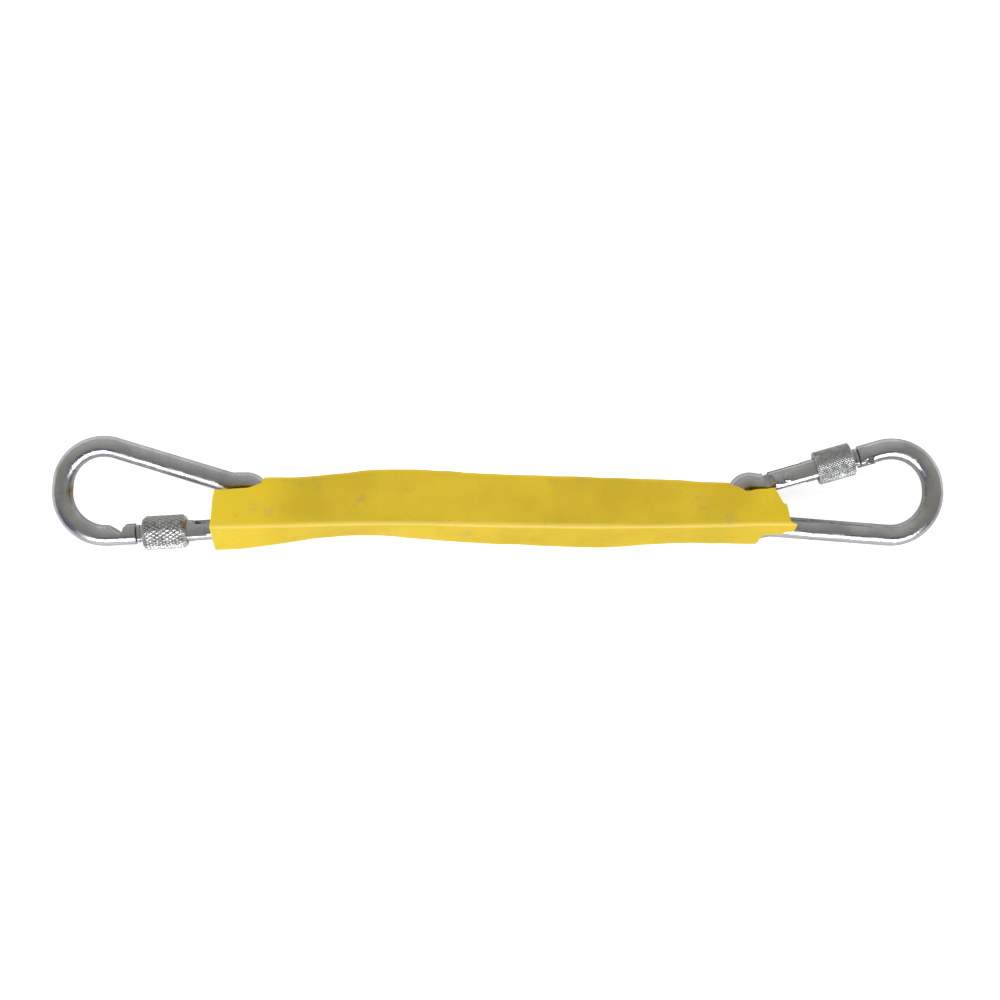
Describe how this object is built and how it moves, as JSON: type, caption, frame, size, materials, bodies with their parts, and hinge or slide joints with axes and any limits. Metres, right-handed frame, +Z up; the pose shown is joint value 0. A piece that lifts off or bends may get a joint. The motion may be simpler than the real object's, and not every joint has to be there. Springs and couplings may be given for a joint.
{
  "type": "sleeved lifting connector",
  "caption": "Short soft lifting connector: strap inside a yellow lay-flat sleeve, with a screw-lock snap hook at each end.",
  "frame": {"origin": "on the resting surface, under the middle of the connector's overall length and width", "axes": "+X along the connector towards the right hook, +Y across it towards the right hook's gate, +Z up from the surface it lies on"},
  "size_m": [0.3339, 0.0427, 0.0175],
  "materials": {
    "zinc_plated_wire": "bright zinc plating, lightly scratched",
    "zinc_plated_gate": "bright zinc plating",
    "knurled_zinc": "diamond knurl, zinc plated",
    "spring_steel": "plain spring steel",
    "strap_webbing": "woven polyester",
    "sewing_thread": "bonded polyester thread",
    "sleeve_vinyl": "soft satin vinyl, creased and scuffed"
  },
  "bodies": {
    "soft_link": {"sleeve": "sleeve_vinyl", "strap": "strap_webbing", "strap_stitching_left": "sewing_thread", "strap_stitching_right": "sewing_thread"},
    "left_hook": {"hook_left": "zinc_plated_wire", "rivet_left": "zinc_plated_wire"},
    "left_gate": {"gate_left": "zinc_plated_gate", "spring_left": "spring_steel"},
    "left_nut": {"locking_nut_left": "knurled_zinc"},
    "left_plunger": {"plunger_left": "spring_steel"},
    "right_hook": {"hook_right": "zinc_plated_wire", "rivet_right": "zinc_plated_wire"},
    "right_gate": {"gate_right": "zinc_plated_gate", "spring_right": "spring_steel", "latch_pin_right": "spring_steel"},
    "right_nut": {"locking_nut_right": "knurled_zinc"},
    "right_plunger": {"plunger_right": "spring_steel"}
  },
  "joints": [
    {"name": "left_hook_swing", "type": "hinge", "parent": "soft_link", "child": "left_hook", "pos_m": [-0.08996, -0.00568, 0.00841], "axis": [0.1181, 0.9832, 0.1392], "range_deg": [-35, 35], "deforming": ["sleeve", "strap"]},
    {"name": "left_gate_opening", "type": "hinge", "parent": "left_hook", "child": "left_gate", "pos_m": [-0.10774, -0.01366, 0.00699], "axis": [0.0166, 0.1382, -0.9903], "range_deg": [0, 27], "stiffness_Nm_per_rad": 0.02, "springref_deg": -34.38},
    {"name": "left_nut_travel", "type": "slide", "parent": "left_gate", "child": "left_nut", "axis": [-0.9981, -0.0567, -0.0246], "range_m": [0, 0.0055]},
    {"name": "left_plunger_travel", "type": "slide", "parent": "left_gate", "child": "left_plunger", "axis": [-0.9981, -0.0567, -0.0246], "range_m": [0, 0.001], "deforming": ["spring_left"]},
    {"name": "right_hook_swing", "type": "hinge", "parent": "soft_link", "child": "right_hook", "pos_m": [0.08996, -0.00487, 0.0078], "axis": [0.0967, -0.9915, -0.0871], "range_deg": [-35, 35], "deforming": ["sleeve", "strap"]},
    {"name": "right_gate_opening", "type": "hinge", "parent": "right_hook", "child": "right_gate", "pos_m": [0.10808, 0.00602, 0.00809], "axis": [-0.0346, 0.0841, -0.9959], "range_deg": [0, 27], "stiffness_Nm_per_rad": 0.02, "springref_deg": -34.38},
    {"name": "right_nut_travel", "type": "slide", "parent": "right_gate", "child": "right_nut", "axis": [0.9619, 0.2733, -0.0103], "range_m": [0, 0.0045]},
    {"name": "right_plunger_travel", "type": "slide", "parent": "right_gate", "child": "right_plunger", "axis": [0.9619, 0.2733, -0.0103], "range_m": [0, 0.001], "deforming": ["spring_right"]}
  ],
  "couplings": [
    {"joint": "left_plunger_travel", "follows": "left_gate_opening", "m_per_rad": 0.0019},
    {"joint": "right_plunger_travel", "follows": "right_gate_opening", "m_per_rad": 0.0019}
  ]
}
